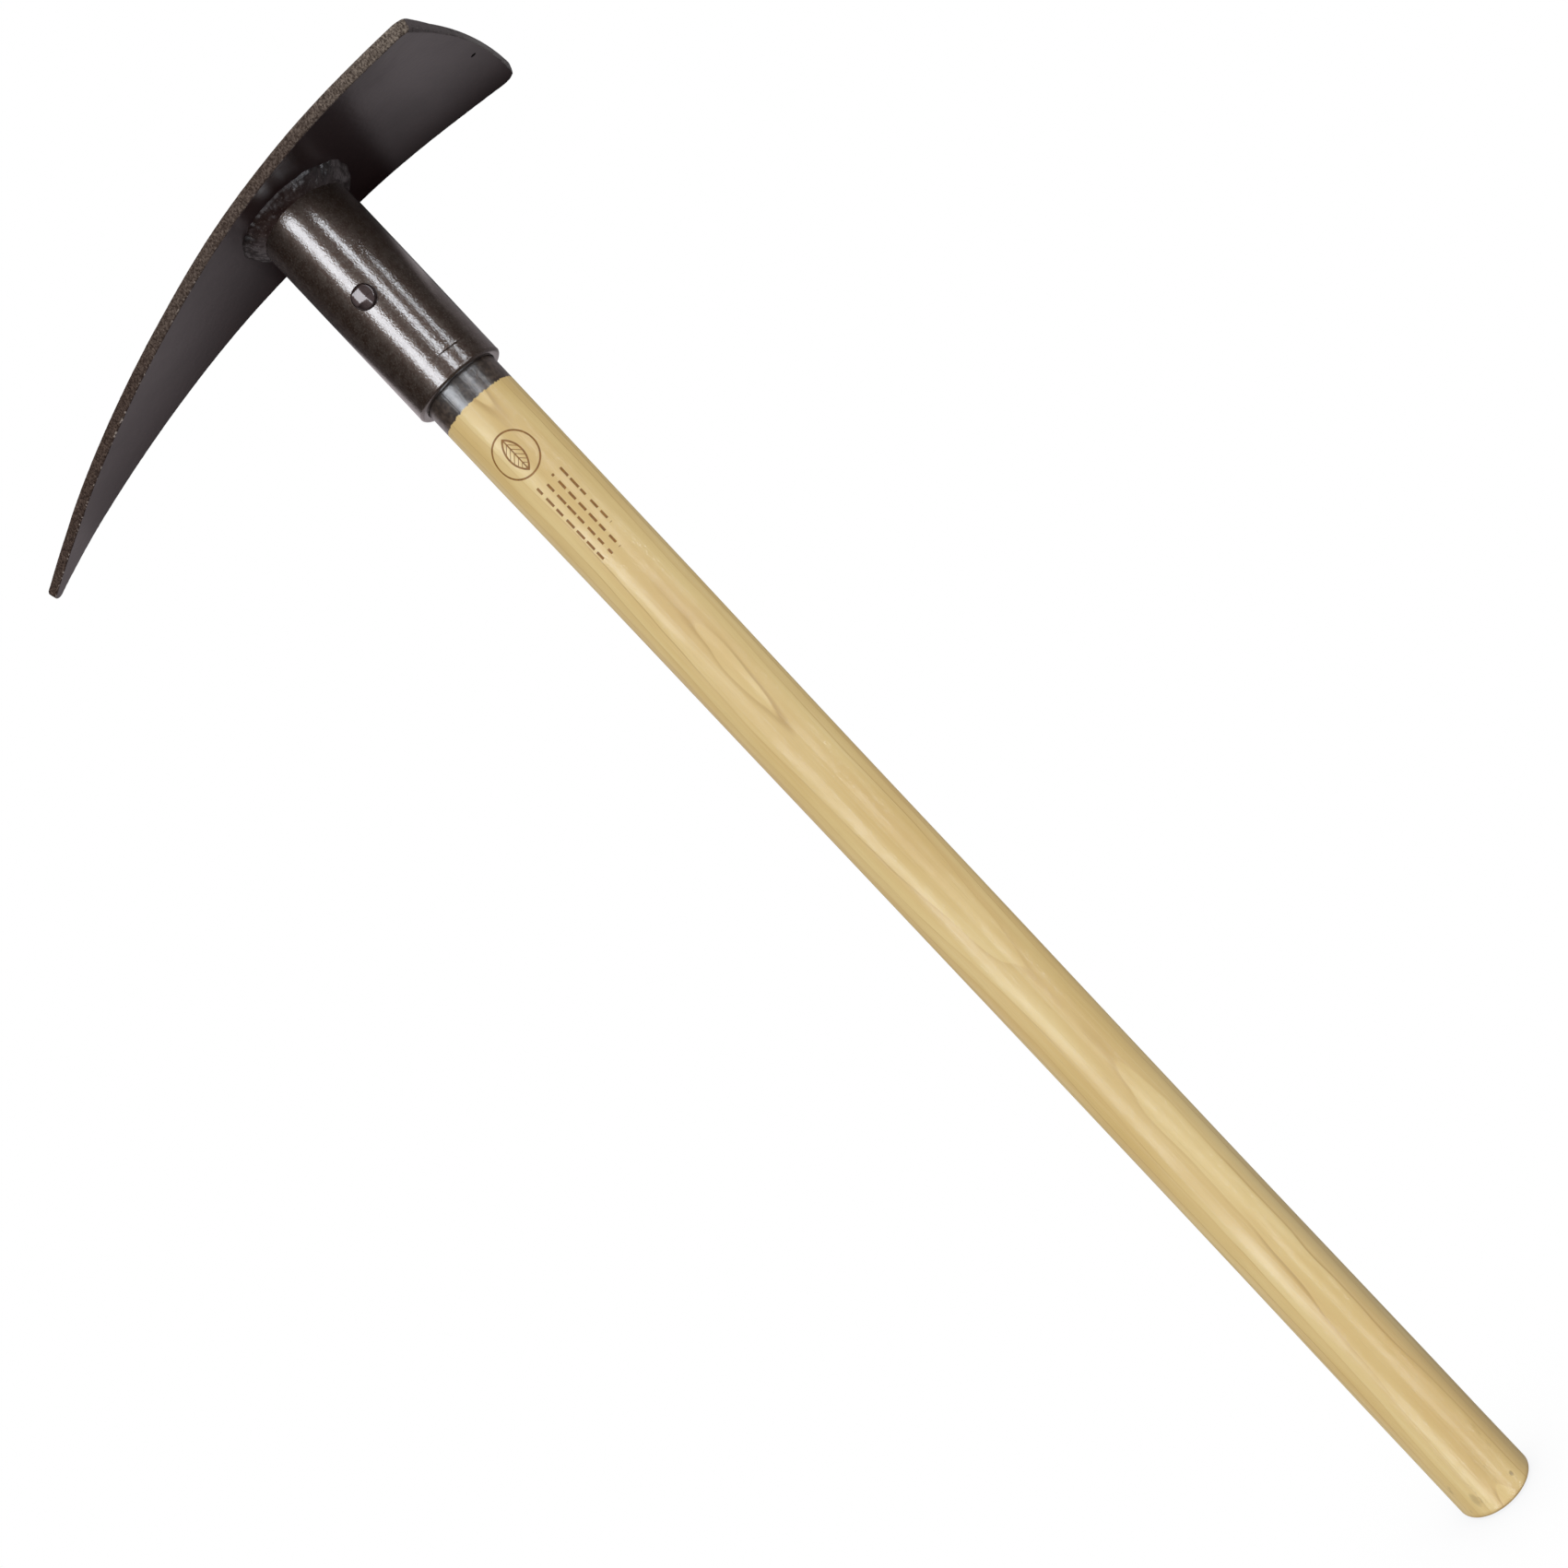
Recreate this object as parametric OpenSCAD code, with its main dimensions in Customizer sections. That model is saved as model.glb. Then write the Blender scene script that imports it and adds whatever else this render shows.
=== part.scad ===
// Draw hoe with a pick end: a curved steel head welded to a pipe socket, on a straight wooden handle.
// The tool stands upright: +Z runs up the handle towards the head, the origin is the centre of the
// handle's butt face, the broad hoe end points to +X and the narrow pick end to -X.

/* [Head plate] */
// Radius of the plate's concave face
face_r = 616; // [560:1:700]
// Thickness of the plate
plate_t = 5; // [4:0.5:6.5]
// Height of the top of the concave face above the butt
face_top_z = 707; // [690:1:740]
// How far the middle of the curvature lies towards the pick end
face_shift = 19; // [0:1:30]
// Reach of the hoe's cutting edge from the handle's centreline
hoe_reach = 98.5; // [90:0.5:110]
// Half width of the hoe at its cutting edge
hoe_half_w = 54.5; // [45:0.5:60]
// Radius of the hoe's curved cutting edge, seen along the handle
edge_r = 341; // [280:1:400]
// Radius of the two corners of the hoe
corner_r = 8; // [5:0.5:12]
// Width of the bevel ground on the concave side of the cutting edge
bevel_w = 1.2; // [0.5:0.1:2]
// Reach of the pick's tip from the handle's centreline
pick_reach = 200; // [180:1:215]
// Radius of the pick's blunt tip, seen along the handle
tip_r = 2.8; // [2:0.1:4]

/* [Socket] */
// Outside radius of the pipe socket (1 1/4 inch pipe)
tube_r = 21.08; // [20:0.01:24]
// Wall of the pipe socket
tube_wall = 3.56; // [3:0.01:4]
// Height of the socket's mouth above the butt
mouth_z = 609.6; // [590:0.1:620]
// Rounding of the mouth's outer edge
mouth_round = 1.5; // [0.5:0.1:2.5]
// Leg of the weld along the plate
weld_leg = 6; // [5:0.5:10]
// Leg of the weld down the socket
weld_rise = 5; // [4:0.5:8]

/* [Handle] */
// Radius of the handle inside the socket
tenon_r = 17.4; // [16.5:0.05:17.45]
// Height of the handle's hidden top end
handle_top_z = 699; // [660:1:700]
// Radius of the handle a third of the way down from the socket
upper_r = 16.9; // [16:0.1:17.4]
// Radius of the handle at its waist
waist_r = 16.6; // [16:0.1:17.4]
// Radius of the handle at its butt
butt_r = 17.1; // [16:0.1:18.5]
// Length of the straight cylinder at the butt
butt_len = 60; // [40:1:100]
// Rounding of the butt's edge
butt_round = 3; // [1:0.5:5]

/* [Rivet] */
// Radius of the rivet's shank
shank_r = 3.175; // [2.5:0.005:4]
// Radius of the rivet's domed heads
dome_r = 5; // [4.2:0.1:7]
// Height of the domed heads
dome_h = 3; // [2:0.1:4]
// Height of the rivet above the socket's mouth
rivet_rise = 46; // [20:1:70]
// Turn of the rivet about the handle, away from square across the head
rivet_turn = 8; // [-20:1:20]

/* [Hidden] */
$fn = 180;
// Gap between parts that only touch
gap = 0.05;
// Length that carries a cut past a surface
over = 1;
bore_r = tube_r - tube_wall;
rivet_z = mouth_z + rivet_rise;
back_r = face_r + plate_t;
centre_x = -face_shift;
centre_z = face_top_z - face_r;
edge_cx = hoe_reach - edge_r;
tip_cx = tip_r - pick_reach;

// Distance along the head and half width at stations between the pick and the hoe
side = [[-198, 2.6], [-170, 6.9], [-140, 12.9], [-100, 20.5], [-60, 28.2],
        [-20, 36.9], [20, 43.3], [60, 49.8], [hoe_reach - 4.5, hoe_half_w]];
side_steps = 6;

// Height above the butt and radius at stations down the handle
grip = [[butt_len, butt_r], [200, waist_r], [400, upper_r], [mouth_z - 40, tenon_r]];
grip_steps = 12;

// Point at t (0 to 1) on the smooth curve from b to c, with neighbours a and d
function curve(a, b, c, d, t) =
    b + (c - a) * t / 2 + (2 * a - 5 * b + 4 * c - d) * t * t / 2
    + (3 * b - a - 3 * c + d) * t * t * t / 2;

// Smooth curve through the points p, n pieces between neighbours
function smooth(p, n) = [
    for (i = [0 : len(p) - 2], j = [0 : n - 1])
        curve(i == 0 ? 2 * p[0] - p[1] : p[i - 1], p[i], p[i + 1],
              i == len(p) - 2 ? 2 * p[i + 1] - p[i] : p[i + 2], j / n),
    p[len(p) - 1]
];

function mirrored(p) = [for (i = [len(p) - 1 : -1 : 0]) [p[i][0], -p[i][1]]];

// Points on an arc round c, n pieces, from angle a0 to angle a1
function arc(c, r, a0, a1, n) =
    [for (i = [0 : n]) let (a = a0 + (a1 - a0) * i / n) c + r * [cos(a), sin(a)]];

// Corner of the hoe: an arc touching the side line and the inside of the edge circle
side_end = side[len(side) - 1];
side_dir = (side_end - side[len(side) - 2]) / norm(side_end - side[len(side) - 2]);
side_in = [side_dir[1], -side_dir[0]];
corner_base = side_end + side_in * corner_r - [edge_cx, 0];
corner_b = corner_base * side_dir;
corner_s = -corner_b + sqrt(corner_b * corner_b - corner_base * corner_base
                            + (edge_r - corner_r) * (edge_r - corner_r));
corner_c = side_end + side_in * corner_r + side_dir * corner_s;
corner_out = (corner_c - [edge_cx, 0]) / norm(corner_c - [edge_cx, 0]);
corner_from = atan2(-side_in[1], -side_in[0]);
corner_to = atan2(corner_out[1], corner_out[0]);

// One side of the blank, from the middle of the pick's tip round to beyond the cutting edge
half = concat(
    arc([tip_cx, 0], tip_r, 180, 100, 6),
    [for (p = smooth(side, side_steps))
        if (p[0] > tip_cx + 1 && p[0] < corner_c[0] - corner_r / 2) p],
    arc(corner_c, corner_r, corner_from, corner_to, 8),
    [corner_c + corner_out * 2 * corner_r]
);

module blank_outline() {
    intersection() {
        translate([edge_cx, 0]) circle(r = edge_r, $fn = 720);
        polygon(concat(half, mirrored([for (i = [1 : len(half) - 1]) half[i]])));
    }
}

module ball(r) {
    translate([centre_x, 0, centre_z]) sphere(r = r, $fn = 720);
}

module hoe_blade() {
    low_z = centre_z + face_r * 0.94;
    inner_z = centre_z + sqrt(face_r * face_r - (hoe_reach - centre_x) * (hoe_reach - centre_x));
    color([0.24, 0.21, 0.2]) difference() {
        intersection() {
            translate([0, 0, low_z]) linear_extrude(height = back_r - face_r * 0.94 + over)
                blank_outline();
            ball(back_r);
        }
        ball(face_r);
        translate([edge_cx, 0, 0]) rotate_extrude($fn = 720)
            polygon([[edge_r - bevel_w, inner_z], [edge_r + over, inner_z + bevel_w + over],
                     [edge_r + over, inner_z - over * 8], [edge_r - bevel_w, inner_z - over * 8]]);
    }
}

module rivet_hole(r) {
    translate([0, 0, rivet_z]) rotate([90, 0, rivet_turn])
        cylinder(h = 3 * tube_r, r = r, center = true);
}

module socket_tube() {
    color([0.27, 0.23, 0.2]) difference() {
        intersection() {
            union() {
                translate([0, 0, mouth_z + mouth_round])
                    cylinder(h = face_top_z - mouth_z, r = tube_r);
                translate([0, 0, mouth_z]) cylinder(h = 2 * mouth_round, r = tube_r - mouth_round);
                translate([0, 0, mouth_z + mouth_round]) rotate_extrude()
                    translate([tube_r - mouth_round, 0]) circle(r = mouth_round, $fn = 48);
            }
            ball(face_r - gap);
        }
        translate([0, 0, mouth_z - over]) cylinder(h = face_top_z, r = bore_r);
        rivet_hole(shank_r + gap);
    }
}

module weld_bead() {
    foot_z = face_top_z - plate_t / 2;
    inner_r = tube_r + gap;
    color([0.2, 0.17, 0.16]) intersection() {
        rotate_extrude() polygon([
            [inner_r, foot_z - weld_rise], [inner_r + weld_leg * 0.45, foot_z - weld_rise * 0.75],
            [inner_r + weld_leg * 0.85, foot_z - weld_rise * 0.35], [inner_r + weld_leg, foot_z],
            [inner_r + weld_leg, foot_z + 2 * plate_t], [inner_r, foot_z + 2 * plate_t]]);
        ball(face_r - gap);
    }
}

module handle() {
    color([0.84, 0.74, 0.53]) difference() {
        union() {
            rotate_extrude() polygon(concat(
                [[0, butt_round], [butt_r, butt_round]], [for (p = smooth(grip, grip_steps)) [p[1], p[0]]],
                [[tenon_r, handle_top_z], [0, handle_top_z]]));
            cylinder(h = 2 * butt_round, r = butt_r - butt_round);
            translate([0, 0, butt_round]) rotate_extrude()
                translate([butt_r - butt_round, 0]) circle(r = butt_round, $fn = 48);
        }
        rivet_hole(shank_r + gap);
    }
}

module handle_rivet() {
    ball_r = (dome_r * dome_r + dome_h * dome_h) / (2 * dome_h);
    seat = sqrt(tube_r * tube_r - dome_r * dome_r) - over;
    color([0.3, 0.26, 0.23]) translate([0, 0, rivet_z]) rotate([0, 0, rivet_turn]) {
        rotate([90, 0, 0]) cylinder(h = 2 * tube_r + 1, r = shank_r, center = true, $fn = 60);
        for (m = [0, 180]) rotate([0, 0, m]) difference() {
            rotate([90, 0, 0]) rotate_extrude($fn = 60) intersection() {
                translate([0, tube_r + dome_h - ball_r]) circle(r = ball_r, $fn = 60);
                translate([0, seat]) square([dome_r, tube_r]);
            }
            cylinder(h = 4 * dome_r, r = tube_r + gap, center = true);
        }
    }
}

hoe_blade();
socket_tube();
weld_bead();
handle();
handle_rivet();
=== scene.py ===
"""Looks of the draw hoe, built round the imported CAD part. Metres, in the part's own frame."""
import math

import bmesh
import bpy
import numpy as np
from mathutils import Matrix, Vector, noise


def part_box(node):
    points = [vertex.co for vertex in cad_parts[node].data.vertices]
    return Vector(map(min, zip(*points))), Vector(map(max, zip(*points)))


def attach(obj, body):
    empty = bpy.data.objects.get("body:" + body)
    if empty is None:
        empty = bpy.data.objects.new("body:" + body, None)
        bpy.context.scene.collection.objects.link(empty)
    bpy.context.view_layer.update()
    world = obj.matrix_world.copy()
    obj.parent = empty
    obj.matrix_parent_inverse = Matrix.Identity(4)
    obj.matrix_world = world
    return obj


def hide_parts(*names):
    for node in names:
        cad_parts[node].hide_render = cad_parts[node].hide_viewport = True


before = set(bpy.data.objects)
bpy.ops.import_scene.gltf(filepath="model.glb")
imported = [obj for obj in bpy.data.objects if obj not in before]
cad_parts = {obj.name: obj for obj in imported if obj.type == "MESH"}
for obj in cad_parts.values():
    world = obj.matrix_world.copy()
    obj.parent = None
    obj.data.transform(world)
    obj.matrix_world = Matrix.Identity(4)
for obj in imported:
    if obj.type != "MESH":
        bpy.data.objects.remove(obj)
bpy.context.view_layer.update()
MM = 0.001


def cad_size(node):
    """Lowest and highest corners of a CAD node, in millimetres."""
    return [[round(v / MM, 2) for v in corner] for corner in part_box(node)]


# ---------------------------------------------------------------- sizes, in millimetres
TUBE_LOW, TUBE_HIGH = cad_size("socket_tube")
TUBE_R = TUBE_HIGH[0]
MOUTH_Z = TUBE_LOW[2]
HANDLE_TOP = cad_size("handle")[1][2]

# the head plate: a hollow face of radius FACE_R, deepest FACE_SHIFT from the handle's axis
FACE_R = 616.0
FACE_TOP = 707.0
FACE_SHIFT = 19.0
FACE_CENTRE = np.array([-FACE_SHIFT, 0.0, FACE_TOP - FACE_R])
PLATE_T = 5.0
# hoe end: its arc seen along the handle, its two corners, the inner bevel and the back's grind
HOE_REACH = 97.9
EDGE_R = 341.0
CORNER_R, FAR_CORNER_R = 5.0, 8.0
BEVEL_W = 0.25
EDGE_T, GRIND = 3.5, 6.0
# pick end: where it ends, how round it is, and its thinning
TIP_X, TIP_R = -200.3, 2.3
TIP_T, TIP_THIN = 4.2, 40.0
# half the plate's width along its length, and how far it hangs below the true curve
SIDE = [(-198, 2.3), (-170, 6.9), (-140, 12.9), (-100, 20.5), (-60, 28.2),
        (-20, 36.9), (20, 43.3), (60, 49.8), (94, 54.5)]
SAG = [(-200, -0.3), (-110, -0.7), (-40, -0.5), (24, -0.15), (70, -0.85), (100, -1.05)]

# the socket: bore, rounded mouth, and a shallow groove turned near the mouth
BORE_R = 17.52
MOUTH_ROUND = 1.5
GROOVE_Z, GROOVE_DEEP, GROOVE_WIDE = 619.5, 0.34, 0.62

# the weld: how far it starts inside the tube's skin, and the span of its foot on the plate
WELD_IN = 0.3
WELD_OUT = (24.6, 28.8)

# the rivet: place, turn in degrees, and a domed head with an off-centre flat
RIVET_Z, RIVET_TURN = 655.3, 6.9
DOME_H, CROWN_R, HEAD_R = 3.0, 26.0, 5.25

# the handle: radius along its length, and where the head's paint stops
BUTT_R, BUTT_ROUND = 17.1, 1.8
TENON_R = 17.4
GRIP = [(60, BUTT_R), (200, 16.6), (400, 16.9), (MOUTH_Z - 40, TENON_R)]
OVAL_FLAT, OVAL_TURN = 1.1, 73
PAINT_LINE = 598.4

# the mark on the handle, in metres and degrees: emblem, then the top corner of the dashes
MARK_Z, MARK_TURN, MARK_RADIUS = 0.5715, 83, 0.0173
DASH_TOP, DASH_TURN, DASH_STEP = 0.5562, 44.2, 14.5


# ---------------------------------------------------------------- small tools
def catmull(points, n):
    """Smooth curve through the points, n pieces between neighbours."""
    p = np.array(points, float)
    p = np.vstack([2 * p[0] - p[1], p, 2 * p[-1] - p[-2]])
    t = np.arange(n)[:, None] / n
    out = []
    for i in range(1, len(p) - 2):
        a, b, c, d = p[i - 1 : i + 3]
        out.append(b + (c - a) * t / 2 + (2 * a - 5 * b + 4 * c - d) * t**2 / 2
                   + (3 * b - a - 3 * c + d) * t**3 / 2)
    return np.vstack(out + [p[-2][None]])


def resample(path, step):
    """The open path again, with points every step."""
    s = np.concatenate([[0], np.cumsum(np.hypot(*np.diff(path, axis=0).T))])
    t = np.linspace(0, s[-1], int(s[-1] / step) + 1)
    return np.stack([np.interp(t, s, path[:, i]) for i in range(path.shape[1])], 1)


def arc(centre, radius, start, end, n):
    """Points of an arc in the plane, angles in radians."""
    return [centre + radius * np.array([math.cos(a), math.sin(a)])
            for a in np.linspace(start, end, n)]


def circle(n):
    """Angles of n points round the handle's axis, and the points at radius 1."""
    a = np.arange(n) * 2 * math.pi / n
    return a, np.stack([np.cos(a), np.sin(a)], 1)


def waves(p, scale, seed):
    """Smooth noise about -1 to 1 at points p (mm); scale is the size of its lumps in mm."""
    count = 14
    rng = np.random.default_rng(seed)
    k = rng.normal(size=(count, p.shape[-1]))
    k /= np.linalg.norm(k, axis=1, keepdims=True)
    k *= rng.uniform(0.6, 1.6, (count, 1)) * 2 * math.pi / (2.2 * scale)
    phase = rng.uniform(0, 2 * math.pi, count)
    return np.sin(p @ k.T + phase).sum(-1) / math.sqrt(count * 1.2)


def perlin(p, scale, seed):
    """Perlin noise at points p (mm) with lumps of about scale mm."""
    q = p / scale + seed * 17.31
    return np.array([noise.noise(Vector(v)) for v in q.reshape(-1, 3)]).reshape(p.shape[:-1])


def weave(name, rings, capped=False):
    """Mesh from closed rows of points (rows, n, 3) in mm; capped fans each end to a point."""
    rings = np.asarray(rings, float)
    rows, n = rings.shape[:2]
    verts = rings.reshape(-1, 3)
    last_row = (rows - 1) * n
    faces = []
    for base in range(0, last_row, n):
        for i in range(n):
            j = (i + 1) % n
            faces.append((base + i, base + j, base + n + j, base + n + i))
    if capped:
        verts = np.vstack([verts, rings[0].mean(0), rings[-1].mean(0)])
        faces += [(rows * n, (i + 1) % n, i) for i in range(n)]
        faces += [(rows * n + 1, last_row + i, last_row + (i + 1) % n) for i in range(n)]
    mesh = bpy.data.meshes.new(name)
    mesh.from_pydata((verts * MM).tolist(), [], faces)
    mesh.polygons.foreach_set("use_smooth", [True] * len(mesh.polygons))
    mesh.update()
    return place(name, mesh)


def place(name, data):
    """A new object of the scene."""
    obj = bpy.data.objects.new(name, data)
    bpy.context.scene.collection.objects.link(obj)
    return obj


def sheet(name, corners, material):
    """One flat four-cornered face, for the stage."""
    mesh = bpy.data.meshes.new(name)
    mesh.from_pydata(corners, [], [(0, 1, 2, 3)])
    mesh.materials.append(material)
    return place(name, mesh)


def settle(piece, node, material):
    """Joins points that meet, turns faces outwards, paints the piece, hangs it on the root body and
    hides the CAD node it replaces.
    """
    merge = 0.00001
    bm = bmesh.new()
    bm.from_mesh(piece.data)
    bmesh.ops.remove_doubles(bm, verts=bm.verts, dist=merge)
    bmesh.ops.dissolve_degenerate(bm, edges=bm.edges, dist=merge / 4)
    bmesh.ops.recalc_face_normals(bm, faces=bm.faces)
    bm.to_mesh(piece.data)
    bm.free()
    piece.data.update()
    piece.data.materials.append(material)
    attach(piece, "root")
    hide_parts(node)


def point_attribute(obj, name, values):
    """Numbers that the piece's material reads, one for each point."""
    a = obj.data.attributes.new(name, "FLOAT", "POINT")
    a.data.foreach_set("value", np.asarray(values, np.float32))


def spin(profile, n):
    """Rows of points from turning a profile of (radius, height) about the handle's axis."""
    ring = circle(n)[1]
    return np.stack([np.column_stack([r * ring, np.full(n, z)]) for r, z in profile])


# ---------------------------------------------------------------- node tools
class Nodes:
    """Short ways to write the node tree of a material or of the world."""

    def __init__(self, owner, output="ShaderNodeOutputMaterial", coord="Object"):
        self.mat = bpy.data.materials.new(owner) if isinstance(owner, str) else owner
        self.mat.use_nodes = True
        self.tree = self.mat.node_tree
        self.tree.nodes.clear()
        self.out = self.add(output)
        self.coord = self.add("ShaderNodeTexCoord").outputs[coord]

    def add(self, kind, **props):
        node = self.tree.nodes.new(kind)
        for k, v in props.items():
            setattr(node, k, v)
        return node

    def set(self, socket, value):
        if isinstance(value, bpy.types.NodeSocket):
            self.tree.links.new(value, socket)
        elif value is not None:
            if socket.type == "RGBA" and len(value) == 3:
                value = (*value, 1)
            socket.default_value = value

    def math(self, op, a, b=None):
        node = self.add("ShaderNodeMath", operation=op)
        self.set(node.inputs[0], a)
        self.set(node.inputs[1], b)
        return node.outputs[0]

    def plus(self, a, b):
        return self.math("ADD", a, b)

    def minus(self, a, b):
        return self.math("SUBTRACT", a, b)

    def times(self, a, b):
        return self.math("MULTIPLY", a, b)

    def most(self, a, b):
        return self.math("MAXIMUM", a, b)

    def flip(self, value):
        """0 for 1 and 1 for 0."""
        return self.minus(1.0, value)

    def hypot(self, a, b):
        return self.math("SQRT", self.plus(self.times(a, a), self.times(b, b)))

    def mix(self, f, a, b):
        """Colour a where f is 0, colour b where it is 1."""
        node = self.add("ShaderNodeMix", data_type="RGBA")
        self.set(node.inputs[0], f)
        self.set(node.inputs[6], a)
        self.set(node.inputs[7], b)
        return node.outputs[2]

    def lerp(self, f, a, b):
        """Number a where f is 0, number b where it is 1."""
        node = self.add("ShaderNodeMix", data_type="FLOAT")
        self.set(node.inputs[0], f)
        self.set(node.inputs[2], a)
        self.set(node.inputs[3], b)
        return node.outputs[0]

    def noise(self, scale, vector=None, detail=2.0, rough=0.5, distort=0.0):
        node = self.add("ShaderNodeTexNoise")
        self.set(node.inputs["Vector"], vector or self.coord)
        node.inputs["Scale"].default_value = scale
        node.inputs["Detail"].default_value = detail
        node.inputs["Roughness"].default_value = rough
        node.inputs["Distortion"].default_value = distort
        return node.outputs["Fac"]

    def stretch(self, x, y, z):
        node = self.add("ShaderNodeVectorMath", operation="MULTIPLY")
        self.set(node.inputs[0], self.coord)
        node.inputs[1].default_value = (x, y, z)
        return node.outputs[0]

    def grain(self, across, along, detail=2.0, rough=0.5):
        """Noise drawn out along the handle."""
        return self.noise(1.0, self.stretch(across, across, along), detail, rough)

    def parts(self):
        node = self.add("ShaderNodeSeparateXYZ")
        self.set(node.inputs[0], self.coord)
        return node.outputs

    def join(self, x, y, z):
        node = self.add("ShaderNodeCombineXYZ")
        for i, v in enumerate((x, y, z)):
            self.set(node.inputs[i], v)
        return node.outputs[0]

    def ramp(self, value, lo, hi):
        """0 below lo, 1 above hi, smooth between."""
        node = self.add("ShaderNodeMapRange", interpolation_type="SMOOTHSTEP")
        self.set(node.inputs[0], value)
        for i, v in ((1, lo), (2, hi), (3, 0.0), (4, 1.0)):
            self.set(node.inputs[i], v)
        return node.outputs[0]

    def attribute(self, name):
        return self.add("ShaderNodeAttribute", attribute_name=name).outputs["Fac"]

    def bump(self, height, distance, strength=1.0, normal=None):
        node = self.add("ShaderNodeBump")
        node.inputs["Distance"].default_value = distance
        self.set(node.inputs["Strength"], strength)
        self.set(node.inputs["Height"], height)
        self.set(node.inputs["Normal"], normal)
        return node.outputs[0]

    def glow(self, **inputs):
        """Ends the tree in plain light."""
        node = self.add("ShaderNodeEmission")
        for k, v in inputs.items():
            self.set(node.inputs[k], v)
        self.tree.links.new(node.outputs[0], self.out.inputs[0])
        return self.mat

    def finish(self, **inputs):
        """Ends the tree in a surface."""
        shader = self.add("ShaderNodeBsdfPrincipled")
        for k, v in inputs.items():
            self.set(shader.inputs[k.replace("_", " ")], v)
        self.tree.links.new(shader.outputs[0], self.out.inputs[0])
        return self.mat


def rgb(r, g, b):
    """Display colour 0 to 255 as scene-linear."""
    return tuple(((v / 255 + 0.055) / 1.055) ** 2.4 if v > 10 else v / 255 / 12.92
                 for v in (r, g, b))


# ---------------------------------------------------------------- paint of the head
def hammer_paint(name, base, flake, rough=0.05, peel=1.0, coat=1.0):
    """Dark brown hammertone: fine metallic flake under a glossy orange-peel coat."""
    n = Nodes(name)
    blotch = n.ramp(n.noise(300, detail=2), 0.38, 0.66)
    fleck = n.ramp(n.noise(1300, detail=3, rough=0.7), 0.45, 0.75)
    wear = n.ramp(n.noise(40, detail=3), 0.4, 0.75)
    colour = n.mix(n.times(blotch, 0.22), base, flake)
    colour = n.mix(n.times(fleck, 0.7), colour, flake)
    colour = n.mix(n.times(wear, 0.12), colour, tuple(0.6 * c for c in base))
    fine = n.times(n.noise(2100, detail=1), 0.6)
    height = n.plus(n.noise(950, detail=1.5), fine)
    normal = n.bump(height, 0.000075 * peel)
    return n.finish(Base_Color=colour, Metallic=0.4, Roughness=0.38,
                    Specular_IOR_Level=0.25, Specular_Tint=(1.0, 0.92, 0.86),
                    Coat_Weight=coat, Coat_Roughness=rough, Coat_Normal=normal)


def cut_edge(n, x, across):
    """Speckled cut steel round the plate: brown along the pick, paler towards the hoe end."""
    pick = n.ramp(n.times(x, -1.0), 0.05, 0.11)
    hoe = n.ramp(x, 0.02, 0.1)
    dark = n.mix(pick, (0.046, 0.029, 0.022), (0.034, 0.019, 0.0145))
    dark = n.mix(hoe, dark, (0.062, 0.046, 0.037))
    pale = n.mix(pick, (0.168, 0.128, 0.106), (0.125, 0.086, 0.068))
    pale = n.mix(hoe, pale, (0.325, 0.270, 0.225))
    grain = n.ramp(n.noise(1300, across, detail=3, rough=0.75), 0.36, 0.68)
    edge = n.mix(grain, dark, pale)
    spark = n.ramp(n.noise(1300, across, detail=2), 0.66, 0.76)
    edge = n.mix(n.times(spark, n.lerp(hoe, 0.2, 0.8)), edge, (0.40, 0.31, 0.24))
    rust = n.ramp(n.noise(170, detail=3), 0.48, 0.7)
    return n.mix(n.times(rust, 0.15), edge, (0.058, 0.036, 0.021))


def ground_end(n, y):
    """Thin, pale paint on the ground end, darker and chipped towards the near corner."""
    far = n.ramp(y, -0.018, 0.012)
    chips = n.ramp(n.noise(420, detail=3, rough=0.7), 0.56, 0.66)
    bare = n.mix(far, (0.108, 0.090, 0.093), (0.185, 0.172, 0.172))
    return n.mix(n.times(chips, n.lerp(far, 0.7, 0.1)), bare, (0.014, 0.009, 0.009))


def paint_nick(n, x, y):
    """A short slanting nick in the paint near the cutting edge. 0 to 1."""
    ux, uy = 0.906, -0.423
    half_long, half_wide = 0.0014, 0.0009
    px, py = n.minus(x, 0.0928), n.minus(y, 0.0114)
    lengthways = n.plus(n.times(px, ux / half_long), n.times(py, uy / half_long))
    sideways = n.minus(n.times(px, uy / half_wide), n.times(py, ux / half_wide))
    oval = n.plus(n.times(lengthways, lengthways), n.times(sideways, sideways))
    return n.flip(n.ramp(oval, 0.6, 1.2))


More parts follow.
